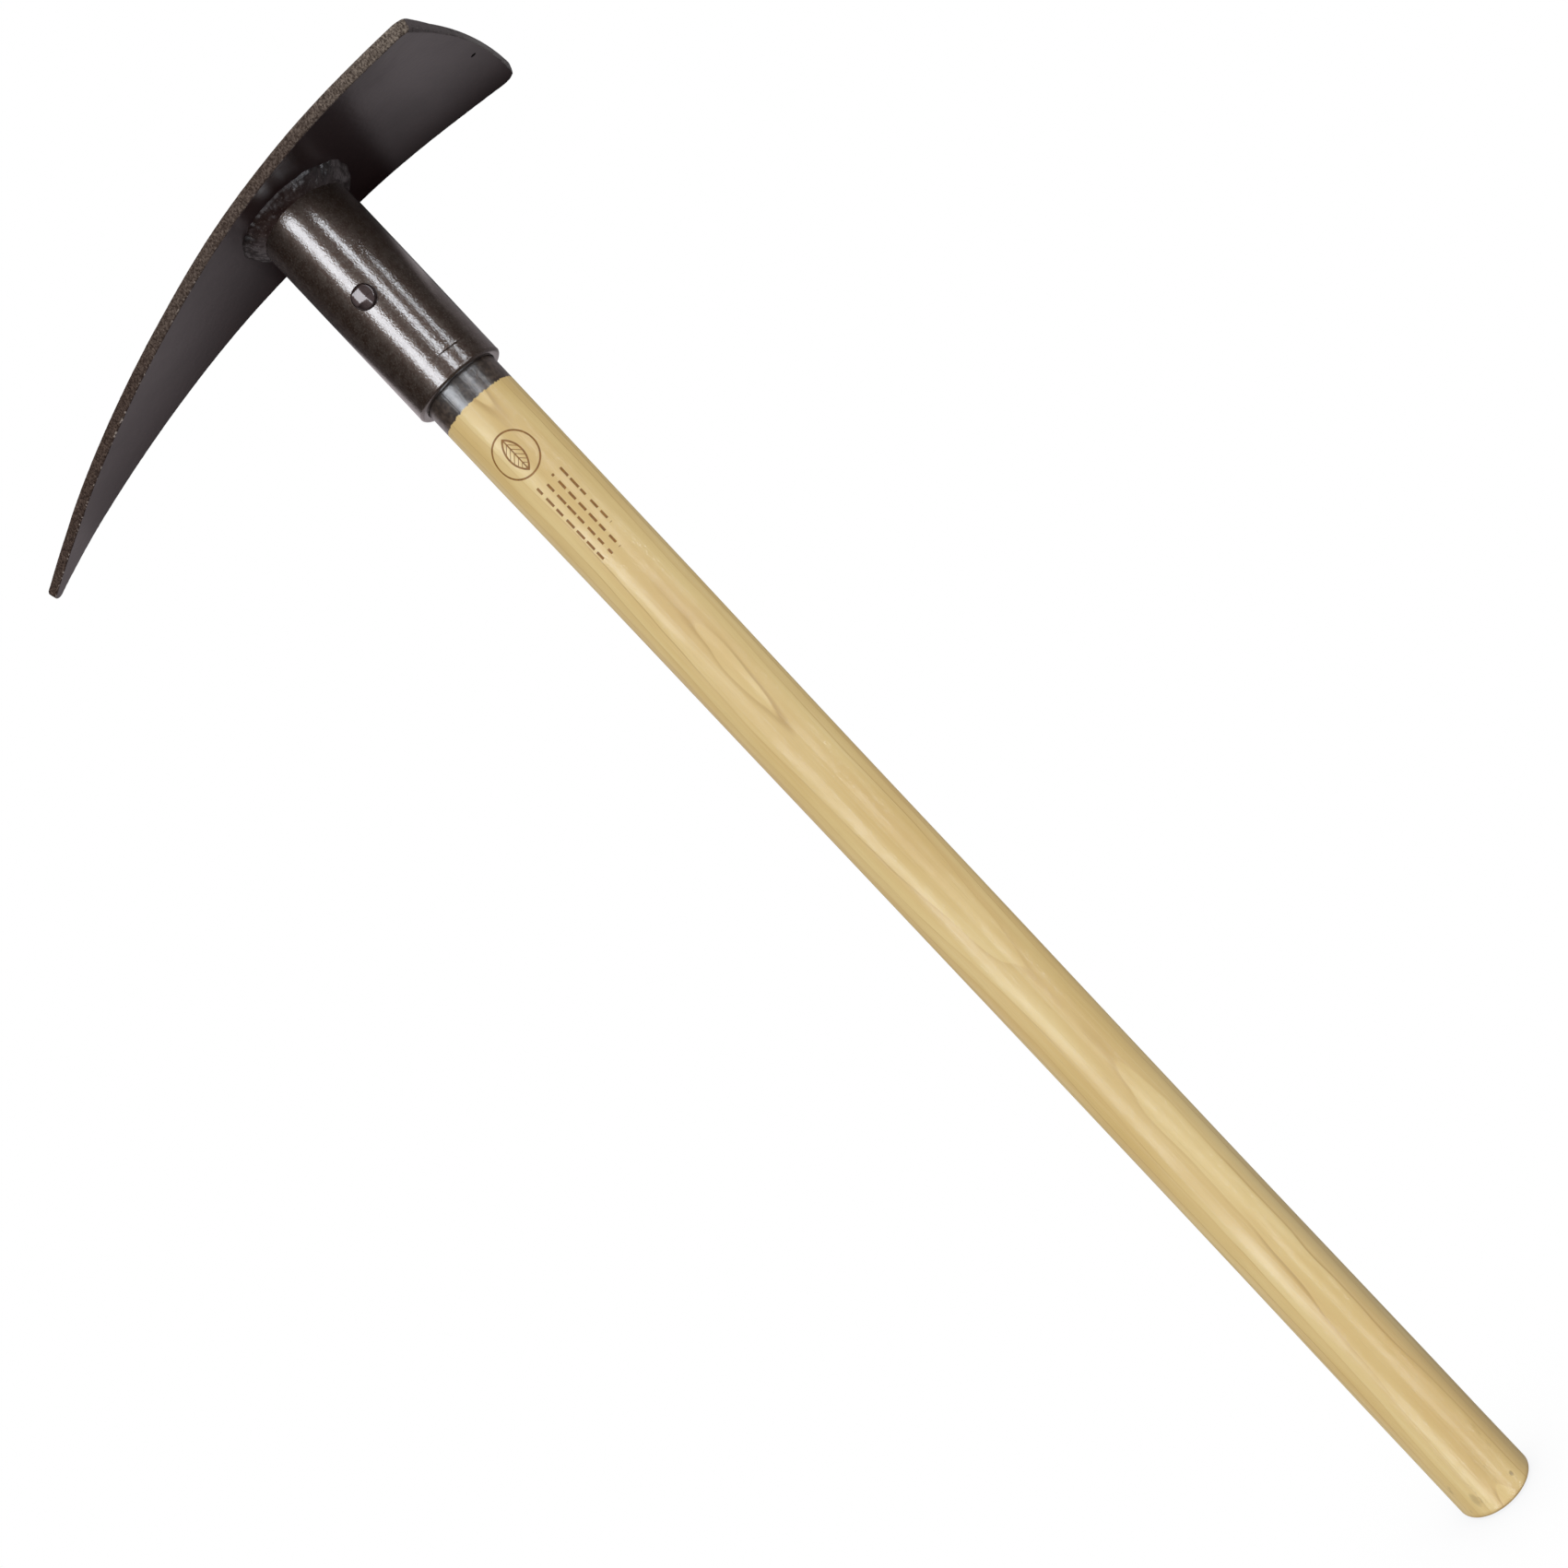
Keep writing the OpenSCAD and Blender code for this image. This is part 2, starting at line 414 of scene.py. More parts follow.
def plate_paint():
    """The head's paint: smooth semi-gloss on the faces, coarse speckled cut on the edges."""
    n = Nodes("plate_paint")
    x, y, _ = n.parts()
    cut = n.attribute("cut")
    across = n.stretch(1, 1, 0.8)
    cloud = n.ramp(n.noise(26, detail=4, rough=0.6, distort=0.4), 0.3, 0.72)
    face = n.mix(cloud, (0.021, 0.0065, 0.0065), (0.034, 0.0155, 0.0155))
    fleck = n.ramp(n.noise(1500, detail=2), 0.55, 0.75)
    face = n.mix(n.times(fleck, 0.15), face, (0.08, 0.07, 0.065))
    nick = paint_nick(n, x, y)
    face = n.mix(nick, face, (0.004, 0.002, 0.002))
    colour = n.mix(cut, face, cut_edge(n, x, across))
    colour = n.mix(n.attribute("ground"), colour, ground_end(n, y))
    # small bright burrs along the lower edge of the cut
    burrs = n.times(n.attribute("burr"), n.ramp(n.noise(800, detail=2), 0.57, 0.64))
    colour = n.mix(burrs, colour, (0.42, 0.36, 0.32))
    peel = n.plus(n.noise(420, detail=1), n.times(n.noise(60, detail=2), 1.2))
    pits = n.plus(n.noise(1000, across, detail=3, rough=0.7),
                  n.times(n.noise(300, detail=1), 0.8))
    normal = n.bump(pits, 0.0004, strength=n.times(cut, 0.8), normal=n.bump(peel, 0.00005))
    rough = n.lerp(cut, n.lerp(nick, n.lerp(cloud, 0.34, 0.28), 0.95), 0.6)
    return n.finish(Base_Color=colour, Roughness=rough, Normal=normal,
                    Specular_IOR_Level=n.lerp(n.most(cut, nick), 0.5, 0.1))


def weld_paint():
    """Brown paint over the weld, specked, and glossier at the weld's two ends."""
    n = Nodes("weld_paint")
    mottle = n.ramp(n.noise(260, detail=3), 0.35, 0.7)
    colour = n.mix(mottle, (0.036, 0.017, 0.014), (0.062, 0.038, 0.033))
    ends = n.ramp(n.math("ABSOLUTE", n.parts()[0]), 0.007, 0.023)
    pale = n.mix(mottle, (0.028, 0.017, 0.016), (0.050, 0.036, 0.035))
    colour = n.mix(ends, colour, pale)
    specks = n.ramp(n.noise(1500, detail=2), 0.63, 0.70)
    colour = n.mix(n.times(specks, 0.45), colour, (0.30, 0.25, 0.23))
    height = n.plus(n.noise(500, detail=2, rough=0.5), n.times(n.noise(2000, detail=1), 0.15))
    return n.finish(Base_Color=colour, Roughness=0.4, Normal=n.bump(height, 0.00009),
                    Specular_IOR_Level=n.lerp(ends, 0.06, 0.28),
                    Coat_Weight=n.lerp(ends, 0.02, 0.22), Coat_Roughness=0.2)


# ---------------------------------------------------------------- wood of the handle
def growth_rings(n, x, y, z):
    """How far through a growth ring each point is: a tilting, gently bent stack of layers."""
    pitch, face_x, face_y = 0.0046, 0.42, -0.907
    slow = n.grain(22, 5.2, detail=1.5, rough=0.45)
    sway = n.grain(60, 16, detail=2, rough=0.5)
    across = n.plus(n.times(x, face_x), n.times(y, face_y))
    side = n.plus(n.times(x, -face_y), n.times(y, face_x))
    bend = n.times(n.times(side, side), -9.0)
    ring = n.plus(n.plus(across, bend), n.times(slow, 0.014))
    ring = n.plus(ring, n.times(sway, 0.0032))
    ring = n.plus(ring, n.times(z, 0.004))
    return n.math("FRACT", n.times(ring, 1 / pitch))


def wood_colour(n, turn, pores, hair):
    """Pale and darker zones, late wood and its fine line, pores, pale hairs and a warm flush."""
    zone = n.ramp(n.grain(70, 9, detail=3), 0.35, 0.68)
    colour = n.mix(zone, rgb(232, 207, 148), rgb(220, 190, 127))
    late = n.ramp(turn, 0.3, 0.97)
    colour = n.mix(n.times(late, 0.4), colour, rgb(214, 182, 122))
    line = n.times(n.ramp(turn, 0.88, 0.975), n.flip(n.ramp(turn, 0.978, 1.0)))
    faint = n.ramp(n.grain(120, 12, detail=2), 0.4, 0.66)
    colour = n.mix(n.times(line, n.lerp(faint, 0.12, 0.75)), colour, rgb(186, 152, 94))
    colour = n.mix(n.times(n.ramp(pores, 0.56, 0.78), 0.28), colour, rgb(176, 146, 98))
    colour = n.mix(n.times(n.ramp(hair, 0.5, 0.75), 0.22), colour, rgb(240, 222, 178))
    flush = n.ramp(n.grain(60, 7, detail=2), 0.5, 0.8)
    return n.mix(n.times(flush, 0.3), colour, rgb(216, 176, 118))


def butt_wear_and_shade(n, colour, angle, z):
    """Grime, a burnished rim, painted shade on one side and two dark stains towards the butt."""
    grime = n.times(n.flip(n.ramp(z, 0.0, 0.05)),
                    n.ramp(n.grain(260, 90, detail=4, rough=0.7), 0.58, 0.78))
    colour = n.mix(n.times(grime, 0.6), colour, rgb(120, 96, 62))
    rim = n.flip(n.ramp(z, 0.0008, 0.0032))
    colour = n.mix(n.times(rim, 0.45), colour, rgb(176, 138, 78))
    # painted shade: the side from -48 to 0 degrees round the handle is dimmed below about 0.3 m
    painted_edge_shade = n.times(n.ramp(angle, math.radians(-48), math.radians(0)),
                   n.flip(n.ramp(z, 0.12, 0.30)))
    colour = n.mix(n.times(painted_edge_shade, 0.42), colour, rgb(140, 126, 104))
    # each stain: degrees round the handle, height, half width, half height, strength
    stains = ((-44, 0.0077, 0.0008, 0.0011, 0.55), (-108, 0.0090, 0.0014, 0.0032, 0.3))
    for at, height, wide, tall, strength in stains:
        a = n.math("DIVIDE", n.times(n.plus(angle, math.radians(-at)), 0.017), wide)
        b = n.math("DIVIDE", n.minus(z, height), tall)
        spot = n.plus(n.times(a, a), n.times(b, b))
        spot = n.plus(spot, n.times(n.noise(900, detail=2), 0.9))
        dark = n.times(n.flip(n.ramp(spot, 0.5, 2.2)), strength)
        colour = n.mix(dark, colour, rgb(104, 84, 60))
    return colour


def neck_paint(n, z):
    """The head's paint where it ran over the neck: where it is (0 to 1), and its colour."""
    line = PAINT_LINE * MM
    ragged = n.times(n.minus(n.grain(700, 120, detail=3), 0.5), 0.0022)
    paint = n.ramp(n.plus(z, ragged), line - 0.0002, line + 0.00025)
    mottle = n.ramp(n.noise(500, detail=2), 0.35, 0.7)
    coat = n.mix(mottle, rgb(56, 41, 31), rgb(82, 67, 56))
    thin = n.ramp(n.grain(1300, 45, detail=3), 0.55, 0.8)
    return paint, n.mix(n.times(thin, 0.2), coat, rgb(104, 92, 80))


def stroke(n, distance, half):
    """A line of half width half where distance is 0. 0 to 1."""
    return n.flip(n.ramp(n.math("ABSOLUTE", distance), half * 0.6, half * 1.35))


def leaf_emblem(n, u, v):
    """A plain leaf in a ring; u goes round the handle and v up it, in metres. 0 to 1."""
    ring_r, leaf_r, leaf_reach, vein_gap = 0.0100, 0.0100, 0.0064, 0.00115
    ring = stroke(n, n.minus(n.hypot(u, v), ring_r), 0.00040)
    left, right = [n.minus(n.hypot(n.plus(u, sign * leaf_reach), v), leaf_r)
                   for sign in (-1, 1)]
    leaf = n.most(left, right)
    outline = stroke(n, leaf, 0.00042)
    inside = n.math("LESS_THAN", leaf, 0.0)
    rib = n.times(stroke(n, u, 0.0003), inside)
    vein = n.math("PINGPONG", n.plus(n.plus(v, 0.02), n.math("ABSOLUTE", u)), vein_gap)
    veins = n.times(stroke(n, vein, 0.00022), inside)
    return n.most(n.most(ring, outline), n.most(rib, veins))


def dash_rows(n, angle, z):
    """Four rows of plain dashes of uneven length down the handle, the first one shorter. 0 to 1."""
    pitch, rows_long, first_short = 0.0058, 0.0389, 0.0095
    row = n.math("DIVIDE", n.plus(angle, math.radians(DASH_TURN)), -math.radians(DASH_STEP))
    index = n.math("FLOOR", row)
    in_row = n.minus(row, index)
    below = n.minus(DASH_TOP, z)
    slot = n.plus(n.math("DIVIDE", below, pitch), n.times(index, 0.37))
    cell = n.math("FLOOR", slot)
    part = n.minus(slot, cell)
    white = n.add("ShaderNodeTexWhiteNoise", noise_dimensions="2D")
    n.set(white.inputs["Vector"], n.join(cell, index, 0.0))
    length = n.lerp(white.outputs["Value"], 0.5, 0.86)
    dash = n.times(n.ramp(part, 0.0, 0.05), n.math("LESS_THAN", part, length))
    bar = n.times(n.ramp(in_row, 0.24, 0.30), n.flip(n.ramp(in_row, 0.50, 0.56)))
    end = n.minus(rows_long, n.times(n.math("LESS_THAN", index, 0.5), first_short))
    within = n.times(n.math("GREATER_THAN", below, 0.0), n.math("LESS_THAN", below, end))
    rows = n.times(n.math("GREATER_THAN", index, -0.5), n.math("LESS_THAN", index, 3.5))
    return n.times(n.times(dash, bar), n.times(within, rows))


def burned_mark(n, angle, z):
    """The emblem and the dashes, a little uneven in depth. 0 to 1."""
    u = n.times(n.plus(angle, math.radians(MARK_TURN)), MARK_RADIUS)
    both = n.most(leaf_emblem(n, u, n.minus(z, MARK_Z)), dash_rows(n, angle, z))
    return n.times(both, n.lerp(n.noise(600, detail=2), 0.8, 1.0))


def hickory():
    """Lacquered hickory: flat-sawn figure, pores, the painted neck and a burned-in mark."""
    n = Nodes("hickory")
    x, y, z = n.parts()
    angle = n.math("ARCTAN2", y, x)
    pores = n.grain(2600, 60, detail=3, rough=0.65)
    hair = n.grain(900, 9, detail=3, rough=0.6)
    colour = wood_colour(n, growth_rings(n, x, y, z), pores, hair)
    colour = butt_wear_and_shade(n, colour, angle, z)
    mark = burned_mark(n, angle, z)
    scorch = n.mix(n.ramp(n.noise(900, detail=3), 0.3, 0.75), rgb(116, 64, 0), rgb(148, 92, 10))
    colour = n.mix(mark, colour, scorch)
    paint, coat = neck_paint(n, z)
    colour = n.mix(paint, colour, coat)
    height = n.plus(n.times(pores, 0.5), n.times(hair, 0.6))
    height = n.plus(height, n.times(n.noise(520, detail=2), 0.35))
    height = n.plus(height, n.times(n.noise(1700, detail=1), 0.3))
    height = n.minus(height, n.times(mark, 0.5))
    height = n.plus(height, n.times(paint, 0.4))
    normal = n.bump(height, 0.00009)
    patch = n.ramp(n.grain(160, 30, detail=3), 0.3, 0.7)
    lacquer = n.times(n.lerp(patch, 0.06, 0.27), n.flip(mark))
    return n.finish(Base_Color=colour, Roughness=0.5, Normal=normal,
                    Specular_IOR_Level=n.lerp(paint, 0.1, 0.2),
                    Coat_Weight=n.lerp(paint, lacquer, 0.72),
                    Coat_Roughness=n.lerp(paint, 0.11, 0.13), Coat_Normal=normal)


# ---------------------------------------------------------------- head plate
def plate_outline(corner_r):
    """One side of the plate seen along the handle, pick tip to the middle of the cutting edge."""
    side = catmull(SIDE, 24)
    end, before = np.array(SIDE[-1], float), np.array(SIDE[-2], float)
    along = (end - before) / np.linalg.norm(end - before)
    inward = np.array([along[1], -along[0]])
    centre = np.array([HOE_REACH - EDGE_R, 0.0])
    # the corner's arc touches the side's line and the edge's arc
    base = end + inward * corner_r - centre
    b = base @ along
    reach = math.sqrt(b * b - base @ base + (EDGE_R - corner_r) ** 2)
    corner = base + along * (reach - b) + centre
    out = (corner - centre) / np.linalg.norm(corner - centre)
    from_side = math.atan2(-inward[1], -inward[0])
    to_edge = math.atan2(out[1], out[0])
    turn = arc(corner, corner_r, from_side, to_edge, 40)
    edge = arc(centre, EDGE_R, to_edge, 0, 80)
    tip = [np.array([TIP_X + TIP_R + TIP_R * math.cos(a), TIP_R * math.sin(a)])
           for a in np.linspace(math.pi, math.radians(98), 20)]
    flank = side[(side[:, 0] > TIP_X + TIP_R + 1) & (side[:, 0] < turn[0][0] - 1)]
    return resample(np.vstack([tip, flank, turn[:-1], edge]), 0.42)


def face_z(x, y):
    """Height of the plate's hollow face."""
    return FACE_TOP - FACE_R + np.sqrt(FACE_R**2 - (x + FACE_SHIFT) ** 2 - y * y)


def past_edge(flat):
    """How far points lie past the cutting edge's arc, negative on the plate."""
    return np.hypot(flat[:, 0] - (HOE_REACH - EDGE_R), flat[:, 1]) - EDGE_R


def plate_thickness(flat):
    """Full, but ground away at the hoe end short of its near corner, and thinned at the tip."""
    ground = np.clip(1 + past_edge(flat) / GRIND, 0, 1) * np.clip((flat[:, 1] + 52) / 18, 0, 1)
    tip = np.clip(1 - (flat[:, 0] - TIP_X) / TIP_THIN, 0, 1)
    return PLATE_T - (PLATE_T - EDGE_T) * ground - (PLATE_T - TIP_T) * tip


def plate_row(flat, depth):
    """A row of points square to the faces, depth 0 on the back and 1 on the hollow face.

    The second result marks the points on the inner bevel."""
    hollow = face_z(flat[:, 0], flat[:, 1])
    bevel = face_z(HOE_REACH, 0) + past_edge(flat) + BEVEL_W
    under = np.maximum(hollow, np.minimum(bevel, hollow + PLATE_T - 1.5))
    front = np.concatenate([flat, under[:, None]], 1)
    ray = np.concatenate([flat, hollow[:, None]], 1) - FACE_CENTRE
    back = FACE_CENTRE + ray * (1 + plate_thickness(flat) / FACE_R)[:, None]
    row = back + (front - back) * depth
    row[:, 2] += np.interp(row[:, 0], *catmull(SAG, 12).T)
    return row, np.clip((under - hollow) / 0.12, 0, 1) * (depth > 0.99)


def cut_rows(loop, inward, saw):
    """The plate's cut side: rows from back to front, rounded at both, sawn rough with burrs."""
    rows, round_r = 13, 0.35
    for k in range(rows + 1):
        f = k / rows
        near = min(f, 1 - f) * rows / 2.2
        inset = round_r * (1 - math.sqrt(max(0, 1 - max(0, 1 - near) ** 2)))
        p = np.concatenate([loop, np.full((len(loop), 1), -PLATE_T * f)], 1)
        bumps = waves(p * [1, 1, 0.7], 0.9, 5) * 0.05 + waves(p * [1, 1, 0.5], 2.4, 6) * 0.03
        fray = 0.07 * np.maximum(0, waves(p, 1.2, 7)) * (f > 0.8)
        rough = (bumps + fray) * saw + 0.06 * saw
        yield loop + inward * (inset + rough[:, None]), f, 0.5 if k in (0, rows) else 1.0


def make_blade():
    far_side = plate_outline(FAR_CORNER_R)
    near_side = plate_outline(CORNER_R) * [1, -1]
    loop = np.vstack([far_side, near_side[-2:0:-1]])
    tangent = np.roll(loop, -1, 0) - np.roll(loop, 1, 0)
    tangent /= np.linalg.norm(tangent, axis=1, keepdims=True)
    inward = np.stack([tangent[:, 1], -tangent[:, 0]], 1)
    spine = np.stack([np.clip(loop[:, 0], TIP_X + 6, 62), np.zeros(len(loop))], 1)
    reach = np.linalg.norm(loop - spine, axis=1, keepdims=True)
    toward = (spine - loop) / reach
    # how far in from the outline the faces' rows lie, before the last one on the spine
    steps = [0.5, 0.9, 1.3, 1.8, 2.6, 4.0, 6.5, 10, 15, 21, 28, 36, 45, 56]
    face_rows = [loop + toward * np.minimum(d, reach * (1 - 1e-4) * min(1, d / steps[-1] + 0.62))
                 for d in steps] + [spine]
    sawn = np.where(loop[:, 0] < HOE_REACH - 4.5, 1.0, 0.0)
    plan = [(flat, 0.0, 0.0) for flat in face_rows[::-1]]
    plan += cut_rows(loop, inward, np.maximum(sawn, 0.25))
    plan += [(flat, 1.0, 0.0) for flat in face_rows]
    rings, cut, ground, burr = [], [], [], []
    for flat, depth, is_cut in plan:
        row, bevel = plate_row(flat, depth)
        rings.append(row)
        cut.append(is_cut * sawn)
        ground.append(np.maximum(is_cut * (1 - sawn), bevel))
        burr.append(float(is_cut > 0 and depth > 0.9) * np.clip(-flat[:, 0] / 60, 0.25, 1))
    blade = weave("head_plate", rings)
    for name, values in (("cut", cut), ("ground", ground), ("burr", burr)):
        point_attribute(blade, name, np.concatenate(values))
    settle(blade, "hoe_blade", plate_paint())


# ---------------------------------------------------------------- socket, weld, rivet
def make_socket():
    m, lip = MOUTH_ROUND, 0.5
    profile = [(BORE_R + 0.02, MOUTH_Z + 30), (BORE_R + 0.02, MOUTH_Z + lip)]
    profile += [(BORE_R + lip - lip * math.cos(a), MOUTH_Z + lip - lip * math.sin(a))
                for a in np.linspace(0.3, math.pi / 2, 4)]
    profile += [(TUBE_R - m + m * math.sin(a), MOUTH_Z + m - m * math.cos(a))
                for a in np.linspace(0, math.pi / 2, 9)]
    in_groove = np.array([0.25, 0.5, 0.8, 1.1, 1.5])
    heights = list(np.arange(MOUTH_Z + m + 0.8, GROOVE_Z - 1.9, 0.8))
    heights += list(GROOVE_Z + np.concatenate([-in_groove[::-1], [0], in_groove]))
    heights += list(np.arange(GROOVE_Z + 2.2, FACE_TOP - 2.2, 0.9))
    profile += [(TUBE_R, z) for z in heights]
    rings = spin(profile, 220)
    r = np.hypot(rings[..., 0], rings[..., 1])
    angle = np.degrees(np.arctan2(rings[..., 1], rings[..., 0]))
    from_groove = rings[..., 2] - GROOVE_Z - 0.25 * np.sin(np.radians(angle * 3))
    dent = GROOVE_DEEP * np.exp(-((from_groove / GROOVE_WIDE) ** 2))
    dent *= 0.1 + 0.9 * np.exp(-(((angle + 52) / 20.0) ** 2))
    wave = 0.03 * waves(rings * [1, 1, 0.4], 12, 11) + 0.004 * waves(rings, 3.5, 12)
    shrink = np.where(r > TUBE_R - 0.01, dent + 0.09 + wave, 0.0)
    rings[..., :2] *= (1 - shrink / r)[..., None]
    # the far end follows the plate's hollow face, and the last row closes the wall in the bore
    outer = rings[-1].copy()
    outer[:, 2] = face_z(outer[:, 0], outer[:, 1]) - 0.05
    inner = outer.copy()
    inner[:, :2] *= BORE_R / TUBE_R
    inner[:, 2] = face_z(inner[:, 0], inner[:, 1]) - 0.05
    tube = weave("pipe_socket", np.concatenate([rings, [outer, inner, rings[0]]]))
    settle(tube, "socket_tube",
           hammer_paint("socket_paint", (0.040, 0.0220, 0.0150), (0.118, 0.100, 0.086)))


def make_weld():
    rows = 36
    a, ring = circle(480)
    around = np.concatenate([ring * 24, np.zeros((len(a), 1))], 1)
    sides = np.abs(np.cos(a))
    out = 26.4 + 1.4 * sides**1.5 + 0.6 * waves(around, 6, 21) + 0.25 * waves(around, 2, 22)
    out = np.clip(out, *WELD_OUT)
    foot = 700.3 - 0.5 * sides + 0.35 * waves(around, 7, 23) + 0.15 * waves(around, 2, 24)
    drift = 1.6 * waves(around, 9, 25)
    top = face_z(ring[:, 0] * out, ring[:, 1] * out) + 0.15
    rings = []
    for k in range(rows + 1):
        t = k / rows
        r = TUBE_R - WELD_IN + (out - TUBE_R + WELD_IN) * t
        z = foot + (top - foot) * t
        arch = math.sin(math.pi * t)
        toes = math.exp(-(((t - 0.16) / 0.08) ** 2)) + math.exp(-(((t - 0.84) / 0.08) ** 2))
        p = np.concatenate([ring * r[:, None], z[:, None]], 1)
        lump = perlin(p, 4.5, 31) * 0.75 + perlin(p, 1.5, 32) * 0.14
        ripple = np.abs(np.sin(a * 36 + drift + 1.4 * math.cos(math.pi * t)))
        push = 0.65 * arch + 0.10 * toes * (1 + lump) + arch**0.8 * (lump + 0.12 * ripple)
        p[:, :2] += ring * (push * 0.62)[:, None]
        p[:, 2] -= push * 0.78
        rings.append(p)
    back = rings[-1].copy()
    back[:, :2] = ring * (TUBE_R - WELD_IN)
    back[:, 2] = face_z(back[:, 0], back[:, 1]) + 0.1
    weld = weave("weld_seam", rings + [back, rings[0]])
    settle(weld, "weld_bead", weld_paint())


def rivet_head(sign):
    """Rows from the crown outwards to the rim and into the tube; sign 1 is the near head."""
    ring = circle(96)[1]
    off_x, off_z, lean = -0.8, 1.1, 0.06
    flat_x, flat_z, twist_z, twist = 1.8, 2.4, 2.1, 0.17
    rows = []
    for q in np.sin(np.linspace(0.05, math.pi / 2, 22)) * HEAD_R:
        x, z = ring[:, 0] * q, ring[:, 1] * q
        across, along = x - off_x, z - off_z
        h = DOME_H - 0.35 - (across**2 + along**2) / (2 * CROWN_R) + lean * across
        h += twist * np.clip(-along - twist_z, 0, 1) * np.minimum(across, flat_x)
        for past, slope in ((np.abs(across) - flat_x, 0.11), (np.abs(along) - flat_z, 0.42)):
            h -= slope * (np.sqrt(np.maximum(0, past) ** 2 + 0.01) - 0.1)
        fall = max(0.0, (q - HEAD_R * 0.86) / (HEAD_R * 0.14))
        h -= 0.9 * fall**2
        skin = np.sqrt(TUBE_R**2 - x**2) - TUBE_R - 0.2
        y = TUBE_R + np.maximum(h + 0.004 * waves(np.stack([x, z, h], 1), 1.6, 41), skin)
        rows.append(np.stack([x, -sign * y, z], 1))
    root = rows[-1].copy()
    root[:, 1] = -sign * (np.sqrt(TUBE_R**2 - root[:, 0] ** 2) - 0.3)
    return rows + [root]


def make_rivet():
    rivet = weave("rivet", rivet_head(1) + rivet_head(-1)[::-1], capped=True)
    turn = Matrix.Rotation(math.radians(RIVET_TURN), 4, "Z")
    rivet.data.transform(Matrix.Translation((0, 0, RIVET_Z * MM)) @ turn)
    settle(rivet, "handle_rivet",
           hammer_paint("rivet_paint", (0.028, 0.014, 0.013), (0.05, 0.034, 0.032),
                        peel=0.4, rough=0.1, coat=0.6))


# ---------------------------------------------------------------- handle
def make_handle():
    grip = catmull(GRIP, 40)
    z = np.concatenate([np.arange(BUTT_ROUND + 1.5, 60, 2.5), grip[:, 0],
                        np.arange(MOUTH_Z - 38, HANDLE_TOP, 3.0), [HANDLE_TOP]])
    r = np.interp(z, np.concatenate([[0], grip[:, 0], [HANDLE_TOP]]),
                  np.concatenate([[BUTT_R], grip[:, 1], [TENON_R]]))
    butt = [(q, 0.0) for q in np.linspace(1.5, BUTT_R - BUTT_ROUND - 1, 8)]
    butt += [(BUTT_R - BUTT_ROUND + BUTT_ROUND * math.sin(a),
              BUTT_ROUND - BUTT_ROUND * math.cos(a)) for a in np.linspace(0, math.pi / 2, 10)]
    rings = spin(butt + list(zip(r, z)), 160)
    height = rings[..., 2]
    radius = np.hypot(rings[..., 0], rings[..., 1])
    body = np.clip(height / 30, 0, 1) * np.clip((MOUTH_Z - 12 - height) / 30, 0, 1)
    shape = waves(rings * [1, 1, 0.16], 14, 51) * 0.09 + waves(rings * [1, 1, 0.05], 5, 52) * 0.035
    # the grip is a little oval, flatter towards the sides that carry the mark
    degrees = np.degrees(np.arctan2(rings[..., 1], rings[..., 0]))
    turn = np.radians((degrees + OVAL_TURN + 90) % 180 - 90)
    oval = -OVAL_FLAT * np.exp(-((turn / math.radians(35)) ** 2)) * np.clip(height / 12, 0, 1)
    scale = 1 + ((shape - 0.06) * body + oval) / np.maximum(radius, 1)
    rings[..., :2] *= np.where(height > BUTT_ROUND - 0.01, scale, 1)[..., None]
    handle = weave("wood_handle", rings, capped=True)
    settle(handle, "handle", hickory())


# ---------------------------------------------------------------- floor and sky
def floor_white():
    """Plain white for the camera, with a painted contact shadow where the butt stands."""
    n = Nodes("floor_white")
    # painted shadow: ambient occlusion dims the floor's glow near the butt
    ao = n.add("ShaderNodeAmbientOcclusion", samples=8)
    ao.inputs["Distance"].default_value = 0.09
    clear = n.ramp(ao.outputs["AO"], 0.2, 0.98)
    return n.glow(Color=n.mix(clear, (0.88, 0.88, 0.89), (1, 1, 1)))


def make_floor():
    half = 6
    corners = [(-half, -half, 0), (half, -half, 0), (half, half, 0), (-half, half, 0)]
    floor = sheet("floor", corners, floor_white())
    floor.location.z = -0.0004
    floor.visible_glossy = floor.visible_diffuse = floor.visible_shadow = False


def make_sky():
    """White for the camera, soft light for rough surfaces, a darker mirror world for gloss."""
    world = bpy.data.worlds.new("studio")
    bpy.context.scene.world = world
    world.cycles.sampling_method = "NONE"
    n = Nodes(world, "ShaderNodeOutputWorld", "Generated")
    x, y, z = n.parts()
    # soft light: bright above the head end, dim below it, brighter from the front
    soft = n.lerp(n.ramp(z, -0.3, 0.3), 0.34, 1.4)
    lean = n.plus(n.times(x, 0.2), n.times(y, -0.98))
    soft = n.times(soft, n.plus(0.70, n.times(lean, 0.48)))
    # what glossy paint mirrors beyond the card: grey behind the tool, dark in front
    mirror = n.lerp(n.ramp(y, -0.1, 0.4), 0.006, n.lerp(n.ramp(x, -0.2, 0.2), 0.30, 0.11))
    ways = n.add("ShaderNodeLightPath").outputs
    value = n.lerp(ways["Is Glossy Ray"], soft, mirror)
    value = n.lerp(ways["Is Camera Ray"], value, 1.0)
    background = n.add("ShaderNodeBackground")
    n.set(background.inputs["Color"], (1, 1, 1))
    n.set(background.inputs["Strength"], value)
    n.tree.links.new(background.outputs[0], n.out.inputs[0])


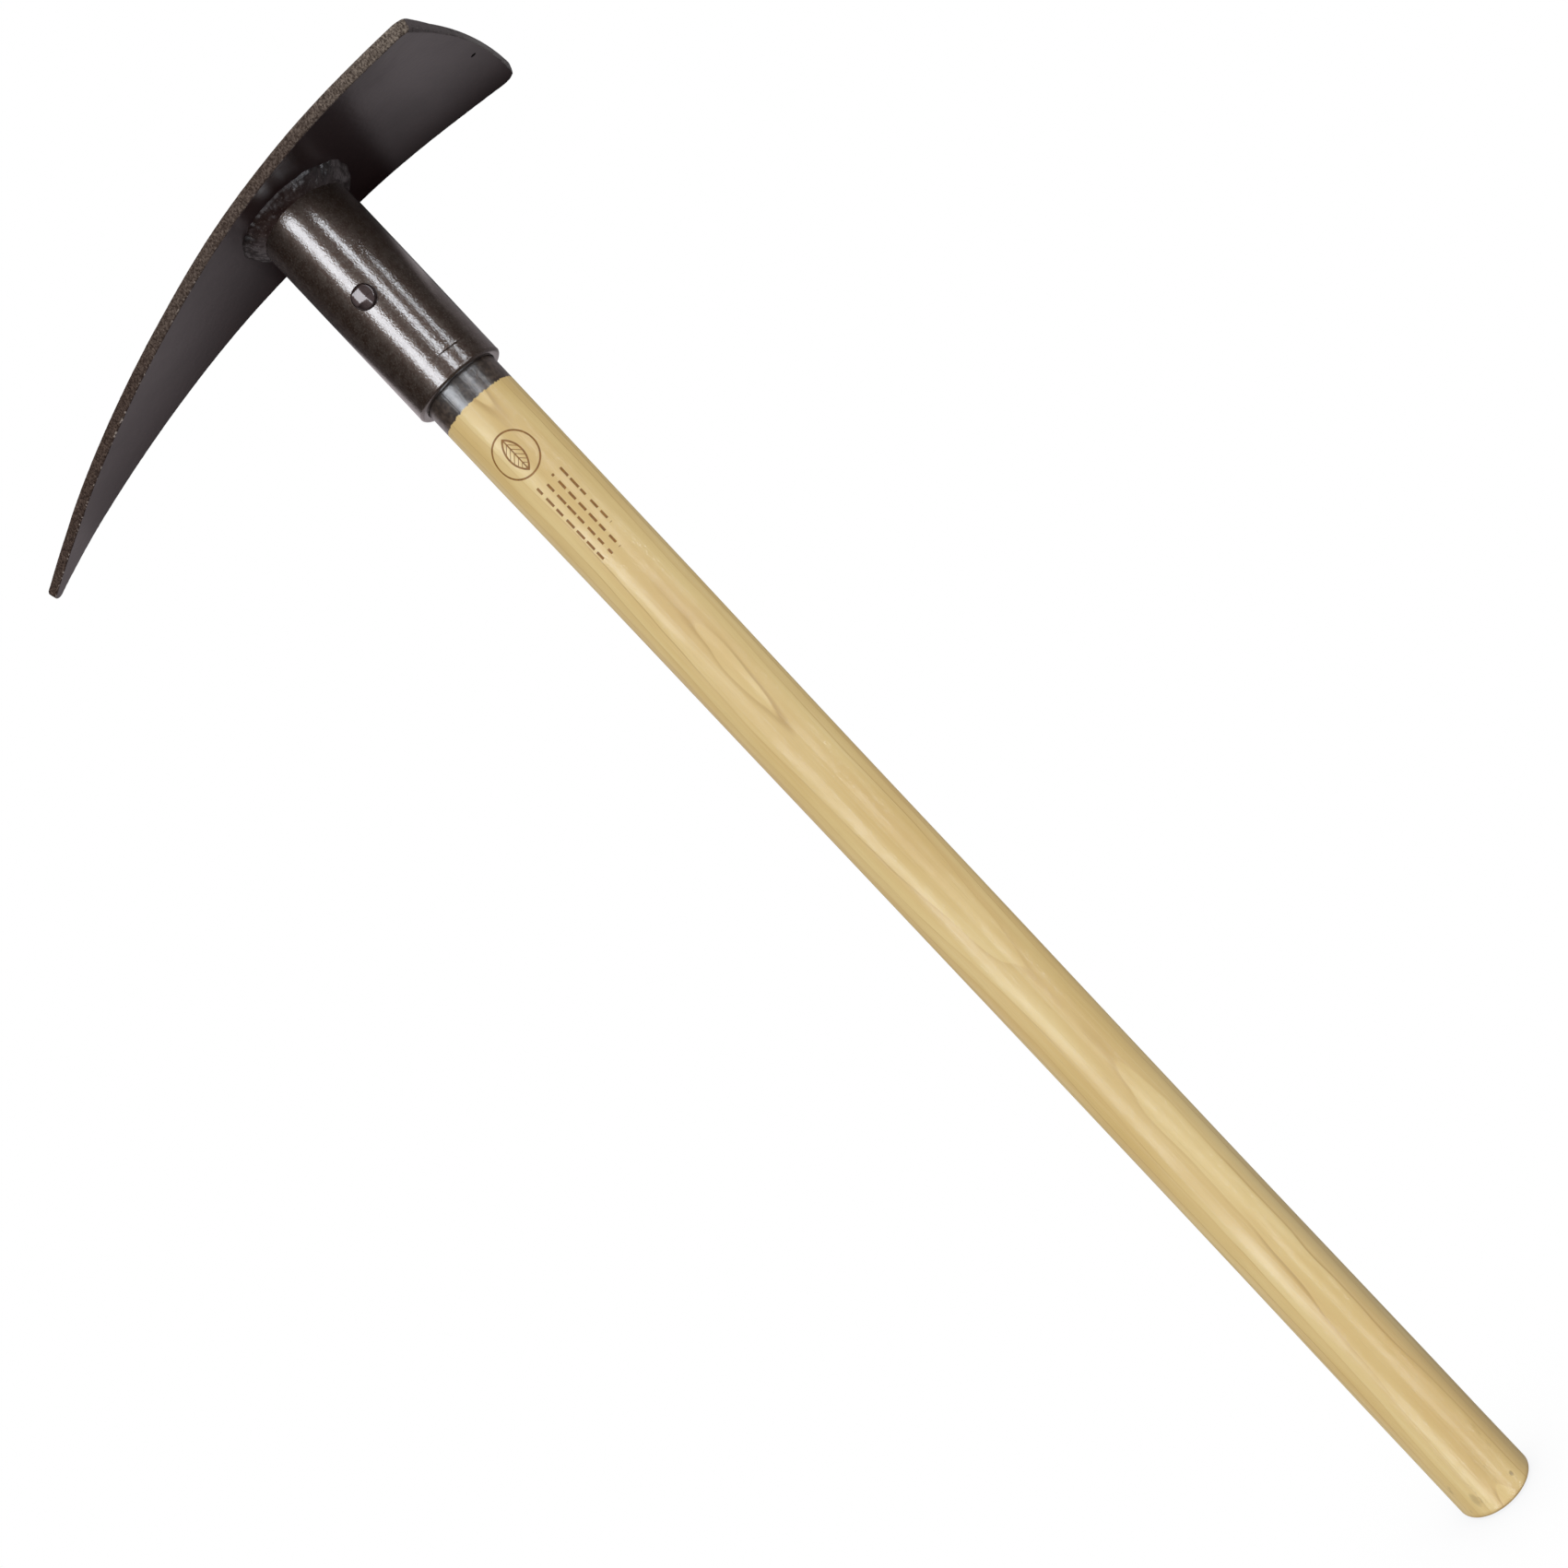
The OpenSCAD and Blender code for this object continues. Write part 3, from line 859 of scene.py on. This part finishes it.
# ---------------------------------------------------------------- mirror card and windows
def card_glow():
    """Brightness of the glowing card: a painted shadow of the head, a painted shadow of the tube,
    and the hoe side.
    """
    n = Nodes("card_glow")
    x, _, z = n.parts()
    off = n.plus(x, FACE_SHIFT * MM)
    plate = n.minus(0.706, n.times(n.times(off, off), 0.81))
    # painted shadow of the head: the card stays dark just below the plate and lights up further
    # down
    depth = n.minus(plate, z)
    hoe_side = n.ramp(x, 0.0, 0.03)
    lit = n.lerp(hoe_side, n.ramp(depth, 0.011, 0.046), n.ramp(depth, 0.003, 0.032))
    tip_side = n.times(n.ramp(n.times(x, -1.0), 0.168, 0.195), n.ramp(depth, 0.0, 0.02))
    lit = n.most(lit, n.times(tip_side, 0.9))
    # painted shadow of the tube: dark round the tube's line above 0.632 m
    off_tube = n.math("ABSOLUTE", n.plus(x, 0.01))
    near = n.times(n.flip(n.ramp(off_tube, 0.031, 0.039)), n.ramp(z, 0.632, 0.662))
    # painted shade: dimmer on the hoe side below 0.664 m
    low = n.times(n.ramp(x, 0.0, 0.02), n.flip(n.ramp(z, 0.664, 0.672)))
    level = n.times(n.lerp(lit, 0.08, 1.0), n.lerp(near, 1.0, 0.07))
    level = n.times(level, n.lerp(low, 1.0, 0.5))
    wide = n.lerp(hoe_side, n.lerp(n.ramp(off_tube, 0.04, 0.10), 0.6, 0.9),
                  n.lerp(n.ramp(off_tube, 0.035, 0.07), 0.5, 0.70))
    return n.glow(Color=(1.0, 0.91, 0.95), Strength=n.times(level, wide))


def make_card():
    """A pale glowing card just behind the tool, seen only in gloss, with painted shadows of the
    head and tube.
    """
    left, right, bottom, top = -0.9, 0.12, -0.5, 1.3
    corners = [(x, 0.020 + 0.055 * z, z)
               for x, z in ((left, bottom), (right, bottom), (right, top), (left, top))]
    card = sheet("mirror_card", corners, card_glow())
    card.visible_camera = card.visible_diffuse = card.visible_shadow = False


def window(name, azimuth, spread, radiance, seen_in):
    """A tall soft light seen only in gloss; azimuth and its spread in degrees."""
    low, high, distance = -0.95, 1.6, 1.5
    width = 2 * distance * math.tan(math.radians(spread / 2))
    data = bpy.data.lights.new(name, "AREA")
    data.shape, data.size, data.size_y = "RECTANGLE", width, high - low
    data.energy = radiance * math.pi * width * (high - low)
    data.color = (0.87, 0.93, 1.0)
    lamp = place(name, data)
    a = math.radians(azimuth)
    away = Vector((math.cos(a), math.sin(a), 0))
    lamp.location = away * distance + Vector((0, 0, (low + high) / 2))
    lamp.rotation_euler = away.to_track_quat("Z", "Y").to_euler()
    lamp.visible_camera = lamp.visible_diffuse = False
    lamp.light_linking.receiver_collection = seen_in


def make_windows():
    """Three windows that shine on all but the head plate, which would mirror them from behind."""
    seen_in = bpy.data.collections.new("window_gloss")
    for piece in ("pipe_socket", "weld_seam", "rivet", "wood_handle"):
        seen_in.objects.link(bpy.data.objects[piece])
    window("wide_window", -100.1, 22, 15.4, seen_in)
    window("second_window", -51.1, 9.5, 16.5, seen_in)
    window("thin_window", -23.1, 3.8, 20, seen_in)


def make_camera():
    camera = place("camera", bpy.data.cameras.new("camera"))
    right = Vector((0.69425, 0.22042, -0.68515))
    down = Vector((-0.64781, -0.22345, -0.7283))
    look = Vector((-0.31363, 0.94947, -0.01234))
    pose = Matrix((right, -down, -look)).transposed().to_4x4()
    pose.translation = (0.2150, -0.6988, 0.4139)
    camera.matrix_world = pose
    camera.data.sensor_width = 36
    camera.data.lens = 41.68
    camera.data.clip_start = 0.01
    bpy.context.scene.camera = camera
    bpy.context.scene.view_settings.view_transform = "Standard"


make_blade()
make_socket()
make_weld()
make_rivet()
make_handle()
make_floor()
make_sky()
make_card()
make_windows()
make_camera()
